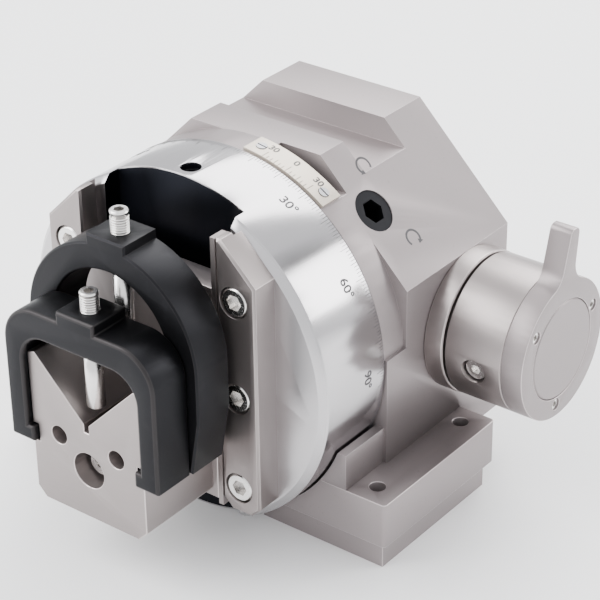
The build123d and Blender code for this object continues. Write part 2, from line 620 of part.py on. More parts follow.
REAR_ARCH_Z, REAR_ARCH_R, REAR_BOSS = 13.0, 28.4, 43.3
REAR_IN_Z = 14.8
REAR_FOOT_HALF_W = 25.5
with BuildPart() as rear_yoke:
    with BuildSketch(face_at(REAR_YOKE_Y)):
        with BuildLine():
            CenterArc((0, REAR_ARCH_Z), REAR_ARCH_R, 0, 180)
            Polyline(
                (-REAR_ARCH_R, REAR_ARCH_Z),
                (-REAR_ARCH_R, 0),
                (-REAR_FOOT_HALF_W, HOOK_LOW),
                (REAR_FOOT_HALF_W, HOOK_LOW),
                (REAR_ARCH_R, 0),
                (REAR_ARCH_R, REAR_ARCH_Z),
            )
        make_face()
        with Locations((0, REAR_BOSS - 5)):
            Rectangle(2 * BOSS_HALF_W, 10)
        with BuildLine():
            CenterArc((0, REAR_IN_Z), INNER_HALF_W, 0, 180)
            Polyline(
                (-INNER_HALF_W, REAR_IN_Z),
                (-INNER_HALF_W, HOOK_HIGH),
                (-HOOK_REACH, HOOK_HIGH),
                (-HOOK_REACH, HOOK_LOW),
                (HOOK_REACH, HOOK_LOW),
                (HOOK_REACH, HOOK_HIGH),
                (INNER_HALF_W, HOOK_HIGH),
                (INNER_HALF_W, REAR_IN_Z),
            )
        make_face(mode=Mode.SUBTRACT)
    extrude(amount=-REAR_YOKE_D)
    chamfer(rear_yoke.faces().sort_by(Axis.Y)[0].edges(), 0.5)
    with BuildSketch(Plane(origin=(0, REAR_YOKE_Y + REAR_YOKE_D / 2, SPINDLE_Z))):
        Circle(CLAMP_R + RUNNING)
    extrude(amount=60, mode=Mode.SUBTRACT)

FRONT_SCREW_TOP, FRONT_SCREW_L = 32.0, 34.0
REAR_SCREW_TOP, REAR_SCREW_L = 49.4, 40.0
front_clamp_screw = Pos(0, FRONT_YOKE_Y + FRONT_YOKE_D / 2, SPINDLE_Z + FRONT_SCREW_TOP) * grub_screw(
    CLAMP_R, FRONT_SCREW_L, 2.5
)
rear_clamp_screw = Pos(0, REAR_YOKE_Y + REAR_YOKE_D / 2, SPINDLE_Z + REAR_SCREW_TOP) * grub_screw(
    CLAMP_R, REAR_SCREW_L, 2.5
)

# ---- handwheel: pinion shaft, hub, lever plate, cover and screws ----
PINION_START, PINION_END = 25.5, 30.5
TOOTH_ROOT_W, TOOTH_FLANK = 1.7, 82
PLATE_R, COVER_DISC_R = WHEEL_R, 14.3
PLATE_SCREW_PCR, PLATE_SCREW_START = 16.4, 24
with BuildPart() as pinion_shaft:
    with BuildSketch(side_at(PINION_START - 1.5)):
        Circle(CROSS_SHAFT_R)
    extrude(amount=HUB_END + 2 - PINION_START + 1.5)
    with BuildSketch(side_at(PINION_START)):
        Circle(PINION_PITCH_R - DEDENDUM)
        with PolarLocations(PINION_PITCH_R - 0.5, PINION_TEETH):
            Trapezoid(TOOTH_ROOT_W, ADDENDUM + DEDENDUM + 0.5, TOOTH_FLANK, rotation=-90)
    extrude(amount=PINION_END - PINION_START)

HUB_SCREW_X = 66.0
HUB_SCREW_DIR = (0, -cos(radians(-8)), sin(radians(-8)))


def hub_screw_plane(reach):
    """Plane square to the hub's radial screw, at a given reach from the handwheel axis."""
    origin = (HUB_SCREW_X, WHEEL_Y + reach * HUB_SCREW_DIR[1], WHEEL_Z + reach * HUB_SCREW_DIR[2])
    return Plane(origin=origin, x_dir=(1, 0, 0), z_dir=HUB_SCREW_DIR)


with BuildPart() as wheel_hub:
    with BuildSketch(side_at(HUB_START)):
        Circle(WHEEL_R)
    extrude(amount=HUB_END - HUB_START)
    chamfer(wheel_hub.edges().filter_by(GeomType.CIRCLE), 0.3)
    with BuildSketch(side_at(HUB_START)):
        Circle(CROSS_SHAFT_R)
    extrude(amount=HUB_END - HUB_START, mode=Mode.SUBTRACT)
    with BuildSketch(side_at(HUB_END)):
        with PolarLocations(PLATE_SCREW_PCR, 3, start_angle=PLATE_SCREW_START):
            Circle(0.9)
    extrude(amount=-6, mode=Mode.SUBTRACT)
    with BuildSketch(hub_screw_plane(WHEEL_R + 1)):
        Circle(3.6)
    extrude(amount=-4.5, mode=Mode.SUBTRACT)
    with BuildSketch(hub_screw_plane(WHEEL_R)):
        Circle(2.0)
    extrude(amount=-(WHEEL_R - CROSS_SHAFT_R + 0.5), mode=Mode.SUBTRACT)

with BuildPart() as hub_screw:
    with BuildSketch(hub_screw_plane(WHEEL_R - 3.5)):
        Circle(2.9)
    extrude(amount=2.2)
    with BuildSketch(hub_screw_plane(WHEEL_R - 3.5)):
        Circle(1.9)
    extrude(amount=-(WHEEL_R - 3.5 - CROSS_SHAFT_R - 0.2))
    with BuildSketch(hub_screw_plane(WHEEL_R - 1.3)):
        RegularPolygon(2.5 / sqrt(3), 6)
    extrude(amount=-1.6, mode=Mode.SUBTRACT)

LEVER_TOP_Z, LEVER_W, LEVER_TOP_Y, LEVER_ROOT_R = 34.5, 4.0, 3.9, 6.0
COVER_DEPTH = 1.6
with BuildPart() as lever_plate:
    with BuildSketch(side_at(HUB_END)):
        Circle(PLATE_R)
        with BuildLine():
            Polyline(
                (-2.6, PLATE_R - 1.5),
                (LEVER_TOP_Y - LEVER_W / 2, LEVER_TOP_Z),
                (LEVER_TOP_Y + LEVER_W / 2, LEVER_TOP_Z),
                (4.0, PLATE_R - 1.5),
                close=True,
            )
        make_face()
    extrude(amount=WHEEL_END - HUB_END)
    fillet(lever_plate.edges().filter_by(Axis.X).sort_by(Axis.Z)[-4:-2], LEVER_ROOT_R)
    fillet(lever_plate.edges().filter_by(Axis.X).group_by(Axis.Z)[-1], 1.8)
    with BuildSketch(side_at(WHEEL_END)):
        Circle(COVER_DISC_R)
    extrude(amount=-COVER_DEPTH, mode=Mode.SUBTRACT)
    with BuildSketch(side_at(HUB_END)):
        Circle(CROSS_SHAFT_R)
    extrude(amount=2, mode=Mode.SUBTRACT)
    for radius, depth in ((1.0, WHEEL_END - HUB_END), (1.7, 2.4)):
        with BuildSketch(side_at(WHEEL_END)):
            with PolarLocations(PLATE_SCREW_PCR, 3, start_angle=PLATE_SCREW_START):
                Circle(radius)
        extrude(amount=-depth, mode=Mode.SUBTRACT)

with BuildPart() as end_cover:
    with BuildSketch(side_at(WHEEL_END - COVER_DEPTH)):
        Circle(COVER_DISC_R - 0.15)
    extrude(amount=COVER_DEPTH + 0.1)
    chamfer(end_cover.edges().group_by(Axis.X)[-1], 0.4)

with BuildPart() as plate_screws:
    with BuildSketch(side_at(WHEEL_END - 2.4)):
        with PolarLocations(PLATE_SCREW_PCR, 3, start_angle=PLATE_SCREW_START):
            Circle(1.55)
    extrude(amount=1.9)
    with BuildSketch(side_at(WHEEL_END - 2.4)):
        with PolarLocations(PLATE_SCREW_PCR, 3, start_angle=PLATE_SCREW_START):
            Circle(0.85)
    extrude(amount=-9)
    with BuildSketch(side_at(WHEEL_END - 0.5)):
        with PolarLocations(PLATE_SCREW_PCR, 3, start_angle=PLATE_SCREW_START):
            RegularPolygon(1.5 / sqrt(3), 6)
    extrude(amount=-1.1, mode=Mode.SUBTRACT)

pieces = {
    "base_plate": base_plate.part,
    "base_body": base_body.part,
    "vernier_plate": vernier_plate.part,
    "vernier_screws": vernier_screws.part,
    "front_bearing": front_bearing.part,
    "rear_bearing": rear_bearing.part,
    "rear_cover": rear_cover.part,
    "rear_cover_screws": rear_cover_screws.part,
    "clamp_shoe": clamp_shoe.part,
    "wheel_ring": wheel_ring.part,
    "wheel_ring_screws": wheel_ring_screws.part,
    "friction_washer": friction_washer.part,
    "shaft_bush": shaft_bush.part,
    "graduated_drum": graduated_drum.part,
    "drum_screws": drum_screws.part,
    "drum_grub_screw": drum_grub_screw.part,
    "spindle_shaft": spindle_shaft.part,
    "crown_gear": crown_gear.part,
    "thrust_washer": thrust_washer.part,
    "lock_nut": lock_nut.part,
    "left_guide": left_guide,
    "right_guide": right_guide,
    "guide_screws": guide_screws.part,
    "gib_strip": gib_strip.part,
    "slide_block": slide_block.part,
    "v_block": v_block.part,
    "v_block_screw": v_block_screw.part,
    "front_yoke": front_yoke.part,
    "rear_yoke": rear_yoke.part,
    "front_clamp_screw": front_clamp_screw,
    "rear_clamp_screw": rear_clamp_screw,
    "spindle_clamp_screw": clamp_screw.part,
    "pinion_shaft": pinion_shaft.part,
    "wheel_hub": wheel_hub.part,
    "hub_screw": hub_screw.part,
    "lever_plate": lever_plate.part,
    "end_cover": end_cover.part,
    "plate_screws": plate_screws.part,
}
for name, piece in pieces.items():
    save(piece, name)
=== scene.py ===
"""Looks of a rotary V-block grinding fixture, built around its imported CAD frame."""

import json
import math

import bmesh
import bpy
from bpy.props import FloatProperty, FloatVectorProperty, IntProperty, PointerProperty
from mathutils import Matrix, Vector


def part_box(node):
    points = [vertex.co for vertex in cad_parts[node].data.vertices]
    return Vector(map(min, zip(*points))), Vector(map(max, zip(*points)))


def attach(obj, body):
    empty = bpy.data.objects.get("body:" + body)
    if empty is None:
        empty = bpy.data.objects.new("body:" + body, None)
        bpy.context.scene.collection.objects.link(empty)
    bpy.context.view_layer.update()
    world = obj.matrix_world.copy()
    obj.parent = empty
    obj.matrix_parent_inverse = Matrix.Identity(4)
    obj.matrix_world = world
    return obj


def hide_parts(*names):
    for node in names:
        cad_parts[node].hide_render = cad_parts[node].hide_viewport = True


bl_info = {
    "name": "Grinding Fixture Looks",
    "version": (1, 0, 0),
    "blender": (4, 5, 0),
    "location": "View3D > Sidebar > Fixture",
    "description": "Finishes, scales and numerals of a rotary V-block grinding fixture",
    "category": "Add Mesh",
}

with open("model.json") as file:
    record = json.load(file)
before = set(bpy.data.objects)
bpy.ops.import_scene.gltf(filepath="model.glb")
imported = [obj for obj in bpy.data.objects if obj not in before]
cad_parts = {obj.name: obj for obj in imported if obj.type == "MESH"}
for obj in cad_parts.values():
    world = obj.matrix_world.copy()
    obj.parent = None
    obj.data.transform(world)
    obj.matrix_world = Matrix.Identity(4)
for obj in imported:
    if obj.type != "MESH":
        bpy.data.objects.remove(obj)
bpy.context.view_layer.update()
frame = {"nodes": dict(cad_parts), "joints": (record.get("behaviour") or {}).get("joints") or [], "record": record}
MM = 0.001
AXES = {joint["name"]: joint for joint in frame["joints"]}


# ---- places worked out from the frame ----
def middle(node):
    """Centre of a CAD node's box at rest."""
    low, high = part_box(node)
    return (low + high) / 2


SPINDLE = Vector(AXES["spindle_turn"]["pos_m"])
WHEEL = Vector(AXES["handwheel_turn"]["pos_m"])
CLAMP = Vector(AXES["spindle_clamp_turn"]["pos_m"])
DRUM_LOW, DRUM_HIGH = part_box("graduated_drum")
DRUM_RADIUS = (DRUM_HIGH.x - DRUM_LOW.x) / 2
PLATE_LOW, PLATE_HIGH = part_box("base_plate")
SCALE_LOW, SCALE_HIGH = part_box("vernier_plate")
SCALE_RADIUS = max(
    math.hypot(vertex.co.x - SPINDLE.x, vertex.co.z - SPINDLE.z)
    for vertex in frame["nodes"]["vernier_plate"].data.vertices
)
CLAMP_OUT, CLAMP_DOWN = Vector((1, 0, 1)).normalized(), Vector((1, 0, -1)).normalized()
SHOULDER_REACH = max(
    (vertex.co - SPINDLE).dot(CLAMP_OUT)
    for vertex in frame["nodes"]["base_body"].data.vertices
    if vertex.co.y > CLAMP.y
)
# Each arrow on the shoulder: its distance from the clamp screw along the slope and along Y.
MARK_REACH, MARK_ASIDE = 11.5 * MM, 6.4 * MM
ARROW_RADIUS, ARROW_WIDTH, ARROW_SWEEP = 2.3 * MM, 0.6 * MM, math.radians(250)
# The channel across the drum's face and the hole of its grub screw, both painted dark as painted shade.
CHANNEL_HALF, CHANNEL_DEPTH, GRUB_REACH = 21.05 * MM, 5.55 * MM, 3.0 * MM
RIM_BAND = 0.4 * MM
# The vernier's ends round the spindle, and its marks and numerals.
VERNIER_PLACE, VERNIER_NUMERAL_PLACE = 0.1 * MM, 2.5 * MM
VERNIER_START, VERNIER_END = math.radians(11.5), math.radians(29.0)
VERNIER_MARK, VERNIER_WIDTH, VERNIER_NUMERAL = 1.3 * MM, 0.16 * MM, 3.0 * MM
# Distances of the degree marks and their numerals in from the drum's rear edge.
MARK_PLACE, NUMERAL_PLACE = 0.4 * MM, 7.6 * MM
NUMERAL_WEIGHT, NUMERAL_RISE = 0.07 * MM, 0.03 * MM
# Marks on a rim stand half their thickness above the metal, and arrows stand on it whole.
BAR_THICKNESS, ARROW_THICKNESS = 0.06 * MM, 0.04 * MM
# Points of a CAD mesh closer than this are one point.
SEAM = 0.002 * MM
# Facets that meet at less than FLAT are one face, and edges sharper than SHARP are rounded.
FLAT, SHARP = math.radians(0.3), math.radians(32)
BEVEL_SEGMENTS = 3


# ---- settings ----
class FinishSettings(bpy.types.PropertyGroup):
    """Colours of the metals."""

    housing: FloatVectorProperty(
        name="Housing", description="Plated casting", subtype="COLOR", default=(0.275, 0.243, 0.243)
    )
    steel: FloatVectorProperty(
        name="Steel", description="Ground and turned steel", subtype="COLOR", default=(0.30, 0.268, 0.262)
    )
    drum: FloatVectorProperty(
        name="Drum", description="Polished drum", subtype="COLOR", default=(0.50, 0.485, 0.495)
    )
    oxide: FloatVectorProperty(
        name="Black oxide",
        description="Yokes and dark screws",
        subtype="COLOR",
        default=(0.0095, 0.0095, 0.0110),
    )
    plate: FloatVectorProperty(
        name="Scale plate", description="Vernier plate", subtype="COLOR", default=(0.52, 0.46, 0.385)
    )
    ink: FloatVectorProperty(
        name="Ink", description="Filling of the marks", subtype="COLOR", default=(0.035, 0.033, 0.036)
    )


class ScaleSettings(bpy.types.PropertyGroup):
    """Sizes of the degree scale, its numerals and the vernier."""

    degrees: IntProperty(name="Marks", description="Marks round the drum", default=360, min=36)
    mark_width: FloatProperty(
        name="Mark width", description="Width of a mark", default=0.13 * MM, unit="LENGTH"
    )
    mark_length: FloatProperty(
        name="Mark length", description="Shortest mark", default=1.5 * MM, unit="LENGTH"
    )
    numeral_size: FloatProperty(
        name="Numeral", description="Height of the numerals", default=4.0 * MM, unit="LENGTH"
    )
    numeral_step: IntProperty(name="Step", description="Degrees between numerals", default=30, min=10)
    vernier_marks: IntProperty(name="Vernier marks", description="Marks on the vernier", default=13, min=3)


class EdgeSettings(bpy.types.PropertyGroup):
    """Rounding of the edges, and the clamping screws' thread."""

    casting: FloatProperty(
        name="Casting", description="Rounding of the casting", default=0.55 * MM, unit="LENGTH"
    )
    machined: FloatProperty(
        name="Machined", description="Rounding of ground parts", default=0.25 * MM, unit="LENGTH"
    )
    yokes: FloatProperty(
        name="Yokes", description="Rounding of the yokes", default=0.45 * MM, unit="LENGTH"
    )
    thread_depth: FloatProperty(
        name="Thread depth", description="Depth of the clamp threads", default=0.22 * MM, unit="LENGTH"
    )
    thread_below: FloatProperty(
        name="Thread below", description="Thread below the yoke's top", default=10.0 * MM, unit="LENGTH"
    )
    thread_pitch: FloatProperty(
        name="Pitch", description="Pitch of the clamp threads", default=0.7 * MM, unit="LENGTH"
    )


class StageSettings(bpy.types.PropertyGroup):
    """Camera."""

    azimuth: FloatProperty(
        name="Azimuth",
        description="View from the front's right",
        default=math.radians(37.74),
        subtype="ANGLE",
    )
    elevation: FloatProperty(
        name="Elevation", description="View from above", default=math.radians(29.72), subtype="ANGLE"
    )
    roll: FloatProperty(
        name="Roll", description="Tilt of the horizon", default=math.radians(-0.66), subtype="ANGLE"
    )
    distance: FloatProperty(
        name="Distance", description="Camera to target", default=0.6, unit="LENGTH"
    )
    lens: FloatProperty(name="Lens", description="Focal length in millimetres", default=130.4)


# ---- maths on sockets, for materials and geometry trees alike ----
class Value:
    """A socket in a node tree: arithmetic on it adds Math nodes."""

    def __init__(self, tree, socket):
        self.tree, self.socket = tree, socket

    def maths(self, operation, *values):
        node = self.tree.nodes.new("ShaderNodeMath")
        node.operation = operation
        for slot, value in zip(node.inputs, values):
            feed(self.tree, slot, value)
        return Value(self.tree, node.outputs[0])

    def __add__(self, other):
        return self.maths("ADD", self, other)

    def __radd__(self, other):
        return self.maths("ADD", other, self)

    def __sub__(self, other):
        return self.maths("SUBTRACT", self, other)

    def __rsub__(self, other):
        return self.maths("SUBTRACT", other, self)

    def __mul__(self, other):
        return self.maths("MULTIPLY", self, other)

    def __rmul__(self, other):
        return self.maths("MULTIPLY", other, self)

    def __truediv__(self, other):
        return self.maths("DIVIDE", self, other)

    def __pow__(self, other):
        return self.maths("POWER", self, other)

    def __abs__(self):
        return self.maths("ABSOLUTE", self)

    def __lt__(self, other):
        return self.maths("LESS_THAN", self, other)

    def __gt__(self, other):
        return self.maths("GREATER_THAN", self, other)

    def __mod__(self, other):
        return self.maths("MODULO", self, other)

    def sine(self):
        return self.maths("SINE", self)

    def cosine(self):
        return self.maths("COSINE", self)

    def clamped(self):
        return self.maths("MINIMUM", self.maths("MAXIMUM", self, 0.0), 1.0)


def feed(tree, slot, value):
    """Links a value into a socket, or sets the socket's own number."""
    if isinstance(value, Value):
        tree.links.new(value.socket, slot)
    else:
        slot.default_value = value


def add_node(tree, kind, settings=None, inputs=None):
    """Adds a node: settings first, then the values or links of its sockets."""
    node = tree.nodes.new(kind)
    for name, setting in (settings or {}).items():
        if name == "stops":
            for stop, (place, level) in zip(node.color_ramp.elements, setting):
                stop.position, stop.color = place, (level, level, level, 1)
        else:
            setattr(node, name, setting)
    for key, value in (inputs or {}).items():
        feed(tree, node.inputs[key], value)
    return node


# ---- finishes ----
class Finish:
    """A procedural material being built."""

    def __init__(self, name, colour, roughness, metallic=1.0):
        self.material = bpy.data.materials.new(name)
        self.material.use_nodes = True
        self.tree = self.material.node_tree
        self.shader = self.tree.nodes["Principled BSDF"]
        self.shader.inputs["Base Color"].default_value = (*colour, 1)
        self.shader.inputs["Roughness"].default_value = roughness
        self.shader.inputs["Metallic"].default_value = metallic
        self.place = add_node(self.tree, "ShaderNodeTexCoord").outputs["Object"]

    def value(self, socket):
        return Value(self.tree, socket)

    def centred(self, origin):
        """Object coordinates measured from a point, as three values."""
        away = tuple(-part for part in origin)
        shift = add_node(self.tree, "ShaderNodeMapping", inputs={"Location": away})
        self.tree.links.new(self.place, shift.inputs["Vector"])
        parts = add_node(self.tree, "ShaderNodeSeparateXYZ", inputs={"Vector": self.value(shift.outputs[0])})
        return [self.value(output) for output in parts.outputs]

    def noise(self, scale, detail=2.0, stretch=(1, 1, 1)):
        """Noise on Object coordinates, with the pattern stretched along an axis."""
        shape = add_node(self.tree, "ShaderNodeMapping", inputs={"Scale": stretch})
        self.tree.links.new(self.place, shape.inputs["Vector"])
        inputs = {"Vector": self.value(shape.outputs[0]), "Scale": scale, "Detail": detail}
        return self.value(add_node(self.tree, "ShaderNodeTexNoise", inputs=inputs).outputs["Fac"])

    def rings(self, distance, scale, detail=3.0):
        """Noise that depends on one distance only, as tool marks do."""
        settings = {"noise_dimensions": "1D"}
        inputs = {"W": distance, "Scale": scale, "Detail": detail}
        return self.value(add_node(self.tree, "ShaderNodeTexNoise", settings, inputs).outputs["Fac"])

    def ramp(self, factor, low, high):
        """Factor spread so that low gives 0 and high gives 1."""
        settings = {"stops": ((low, 0.0), (high, 1.0))}
        node = add_node(self.tree, "ShaderNodeValToRGB", settings, {"Fac": factor})
        return self.value(node.outputs["Color"])

    def mix(self, factor, first, second):
        """Colour between two colours or colour links."""
        node = add_node(self.tree, "ShaderNodeMix", {"data_type": "RGBA"}, {0: factor})
        for index, colour in ((6, first), (7, second)):
            feed(self.tree, node.inputs[index], colour if isinstance(colour, Value) else (*colour, 1))
        return self.value(node.outputs[2])

    def edge(self):
        """1 on the rounded edges of a softened piece, 0 elsewhere: where the finishes paint a highlight."""
        node = add_node(self.tree, "ShaderNodeAttribute", {"attribute_name": "edge"})
        return self.value(node.outputs["Fac"])

    def paint(self, colour):
        feed(self.tree, self.shader.inputs["Base Color"], colour)

    def rough(self, level):
        feed(self.tree, self.shader.inputs["Roughness"], level)

    def bump(self, height, depth, strength=0.5):
        inputs = {"Height": height, "Distance": depth, "Strength": strength}
        node = add_node(self.tree, "ShaderNodeBump", inputs=inputs)
        self.tree.links.new(node.outputs[0], self.shader.inputs["Normal"])


def darker(colour, share):
    return tuple(channel * share for channel in colour)


def plated_casting(name, colour):
    """Satin nickel plate over a blasted casting: fine grain with broad soft patches."""
    finish = Finish(name, colour, 0.42, 0.72)
    grain = finish.noise(3200, 2)
    patches = finish.noise(38, 3)
    specks = finish.ramp(finish.noise(900, 4), 0.66, 0.72)
    shade = finish.mix(patches, darker(colour, 0.93), darker(colour, 1.05))
    shade = finish.mix(specks * 0.35, shade, darker(colour, 0.72))
    # Painted highlight: the rounded edges are painted lighter.
    finish.paint(finish.mix(0.75 * finish.edge(), shade, darker(colour, 2.1)))
    finish.rough(0.38 + 0.10 * patches + 0.05 * grain - 0.14 * finish.edge())
    finish.bump(grain, 0.02 * MM, 0.35)
    return finish.material


def turned_steel(name, colour, origin, roughness=0.30):
    """Satin steel turned about an X axis: rings on the faces and fine threads on the rim."""
    finish = Finish(name, colour, roughness)
    x, y, z = finish.centred(origin)
    radius = (y * y + z * z) ** 0.5
    marks = finish.rings(radius + x * 1.3, 7000)
    patches = finish.noise(60, 3)
    shade = finish.mix(patches, darker(colour, 0.92), darker(colour, 1.06))
    # Painted highlight: the rounded edges are painted lighter.
    finish.paint(finish.mix(0.6 * finish.edge(), shade, darker(colour, 1.8)))
    finish.rough(roughness + 0.10 * marks + 0.06 * patches)
    finish.bump(marks, 0.012 * MM, 0.5)
    return finish.material


def ground_steel(name, colour, stretch, roughness=0.40):
    """Surface-ground steel: long fine scratches along one direction."""
    finish = Finish(name, colour, roughness)
    scratches = finish.noise(5200, 3, stretch)
    patches = finish.noise(70, 3)
    shade = finish.mix(patches, darker(colour, 0.90), darker(colour, 1.05))
    # Painted highlight: the rounded edges are painted lighter.
    finish.paint(finish.mix(0.7 * finish.edge(), shade, darker(colour, 2.0)))
    finish.rough(roughness - 0.05 + 0.12 * scratches + 0.06 * patches - 0.12 * finish.edge())
    finish.bump(scratches, 0.015 * MM, 0.5)
    return finish.material


def polished_drum(name, colour, painted_shade_colour):
    """Cylinder-ground and polished rim, with painted shade in the channel across the face and in the grub screw's
    hole.
    """
    finish = Finish(name, colour, 0.10)
    x, y, z = finish.centred(SPINDLE)
    radius = (x * x + z * z) ** 0.5
    rim = radius > DRUM_RADIUS - RIM_BAND
    lines = finish.rings(y, 9000)
    face_lines = finish.rings(radius, 7000)
    cloud = finish.noise(45, 3)
    channel_floor = DRUM_LOW.y + CHANNEL_DEPTH - SPINDLE.y
    channel = (abs(x) < CHANNEL_HALF) * (y < channel_floor)
    across = y - (middle("drum_grub_screw").y - SPINDLE.y)
    hole = ((x * x + across * across) ** 0.5 < GRUB_REACH) * (z > 0)
    # Painted shade: the channel floor and the grub screw's hole are painted near-black where shadow falls in them.
    painted_shade = (channel + hole).clamped() * (1 - rim)
    finish.paint(finish.mix(painted_shade, finish.mix(cloud, darker(colour, 0.94), colour), painted_shade_colour))
    finish.rough(0.26 - 0.13 * rim + 0.05 * cloud + 0.05 * lines + 0.08 * painted_shade)
    finish.bump(lines * rim + face_lines * (1 - rim), 0.006 * MM, 0.4)
    return finish.material


def black_oxide(name, colour, roughness=0.40):
    """Blackened steel: faint blue patches, dull grain, lighter handling wear, and rounded edges painted lighter as
    partly wear and partly a painted highlight.
    """
    finish = Finish(name, colour, roughness, 0.90)
    grain = finish.noise(2600, 3)
    patches = finish.noise(55, 4)
    wear = finish.ramp(finish.noise(240, 6), 0.60, 0.80)
    shade = finish.mix(patches, darker(colour, 0.75), darker(colour, 1.5))
    shade = finish.mix(wear * 0.4, shade, darker(colour, 2.4))
    # Rounded edges painted lighter: partly worn edges, partly a painted highlight.
    finish.paint(finish.mix(0.55 * finish.edge(), shade, (0.045, 0.041, 0.041)))
    finish.rough(roughness - 0.06 + 0.12 * patches + 0.08 * grain)
    finish.bump(grain, 0.02 * MM, 0.4)
    return finish.material


def bright_screw(name, colour):
    """Bright turned screw steel."""
    finish = Finish(name, colour, 0.22)
    grain = finish.noise(1800, 3)
    finish.paint(finish.mix(grain, darker(colour, 0.85), colour))
    finish.rough(0.18 + 0.14 * grain)
    finish.bump(grain, 0.01 * MM, 0.3)
    return finish.material


def scale_plate(name, colour):
    """Satin chrome strip, brushed along its length."""
    finish = Finish(name, colour, 0.30, 0.55)
    along = finish.centred(SPINDLE)[1]
    lines = finish.rings(along, 9000)
    finish.paint(finish.mix(lines, darker(colour, 0.93), colour))
    finish.rough(0.26 + 0.14 * lines)
    finish.bump(lines, 0.008 * MM, 0.4)
    return finish.material


def bearing_bronze(name):
    """Machined bronze."""
    colour = (0.62, 0.40, 0.17)
    finish = Finish(name, colour, 0.32)
    grain = finish.noise(700, 4)
    finish.paint(finish.mix(grain, darker(colour, 0.8), colour))
    finish.rough(0.26 + 0.16 * grain)
    finish.bump(grain, 0.01 * MM, 0.3)
    return finish.material


def dull_lining(name):
    """Dark friction lining with a fibrous grain."""
    colour = (0.022, 0.020, 0.020)
    finish = Finish(name, colour, 0.75, 0.0)
    fibres = finish.noise(2400, 5)
    finish.paint(finish.mix(fibres, colour, darker(colour, 2.4)))
    finish.bump(fibres, 0.03 * MM, 0.5)
    return finish.material


def mark_ink(name, colour):
    """Paint that fills engraved marks, slightly uneven."""
    finish = Finish(name, colour, 0.55, 0.0)
    finish.paint(finish.mix(finish.noise(1500, 3), darker(colour, 0.6), darker(colour, 1.6)))
    return finish.material


def make_finishes():
    """All finishes by their slot name."""
    colours = bpy.context.scene.fixture_finish
    housing, steel, drum = tuple(colours.housing), tuple(colours.steel), tuple(colours.drum)
    oxide, plate, ink = tuple(colours.oxide), tuple(colours.plate), tuple(colours.ink)
    return {
        "housing": plated_casting("plated_casting", housing),
        # The drum's third colour is the painted shade of its channel and grub screw hole.
        "polished_steel": polished_drum("polished_drum", drum, (0.010, 0.011, 0.015)),
        "ground_steel": ground_steel("ground_steel", steel, (0.06, 1, 1)),
        "satin_steel": turned_steel("satin_steel", steel, WHEEL),
        "black_oxide": black_oxide("black_oxide", oxide),
        "bright_screw": bright_screw("bright_screw", (0.80, 0.78, 0.76)),
        "scale_plate": scale_plate("scale_plate", plate),
        "bronze": bearing_bronze("bearing_bronze"),
        "gear_steel": ground_steel("gear_steel", (0.36, 0.36, 0.37), (1, 0.08, 1), 0.34),
        "friction_lining": dull_lining("friction_lining"),
        "guide_steel": ground_steel("guide_steel", darker(steel, 0.95), (1, 1, 0.06), 0.38),
        "ink": mark_ink("mark_ink", ink),
    }


FINISHES = {}
NODE_SLOTS = {part["node"]: part["material_slot"] for part in frame["record"]["subparts"]}


def coat(node, finish_name=None):
    """Gives a CAD node its finish through its material slots."""
    slots = frame["nodes"][node].data.materials
    finish = FINISHES[finish_name or NODE_SLOTS[node]]
    slots.clear()
    slots.append(finish)


# ---- making and finishing pieces ----
def link_piece(name, mesh, body, slot_name, finish_name=None):
    """Puts a finished mesh into the scene as a piece that rides on a body."""
    piece = bpy.data.objects.new(name, mesh)
    bpy.context.scene.collection.objects.link(piece)
    mesh.materials.clear()
    mesh.materials.append(FINISHES[finish_name or slot_name])
    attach(piece, body)
    return piece


def settled(obj, name):
    """The plain mesh of an object once its modifiers have run; the object itself is removed."""
    graph = bpy.context.evaluated_depsgraph_get()
    mesh = bpy.data.meshes.new_from_object(obj.evaluated_get(graph), depsgraph=graph)
    mesh.name = name
    bpy.data.objects.remove(obj)
    return mesh


def softened(node, width, finish_name=None, keep_sharp=None):
    """Stands for a CAD node with the same shape and its sharp edges rounded off."""
    work = bmesh.new()
    work.from_mesh(frame["nodes"][node].data)
    bmesh.ops.remove_doubles(work, verts=work.verts, dist=SEAM)
    bmesh.ops.dissolve_limit(work, angle_limit=FLAT, verts=work.verts, edges=work.edges)
    weight = work.edges.layers.float.new("bevel_weight_edge")
    for edge in work.edges:
        folded = len(edge.link_faces) == 2 and edge.calc_face_angle() > SHARP
        if folded and not (keep_sharp and all(keep_sharp(vertex.co) for vertex in edge.verts)):
            edge[weight] = 1.0
    for face in work.faces:
        face.smooth = True
    mesh = bpy.data.meshes.new(node + "_soft")
    work.to_mesh(mesh)
    work.free()
    raw = bpy.data.objects.new(node + "_raw", mesh)
    bpy.context.scene.collection.objects.link(raw)
    bevel = raw.modifiers.new("rounded edges", "BEVEL")
    bevel.width, bevel.segments = width, BEVEL_SEGMENTS
    bevel.limit_method = "WEIGHT"
    bevel.harden_normals = True
    bevel.use_clamp_overlap = True
    mesh.materials.append(None)
    mesh.materials.append(None)
    bevel.material = 1
    mesh = settled(raw, node + "_soft")
    # Faces made by the bevel are marked in the attribute edge, where the finishes paint a lighter highlight.
    edges = [face.material_index for face in mesh.polygons]
    mesh.attributes.new("edge", "FLOAT", "FACE").data.foreach_set("value", edges)
    mesh.polygons.foreach_set("material_index", [0] * len(edges))
    piece = link_piece(node + "_soft", mesh, body_of(node), NODE_SLOTS[node], finish_name)
    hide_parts(node)


def body_of(node):
    """The body that a CAD node belongs to."""
    bodies = frame["record"]["behaviour"]["bodies"]
    return next(name for name, members in bodies.items() if node in members)


def rests_on_plate(point):
    """Whether a point of the body lies where it meets the flanged plate."""
    return point.z < PLATE_HIGH.z + 0.01 * MM and point.y < PLATE_HIGH.y + 0.01 * MM


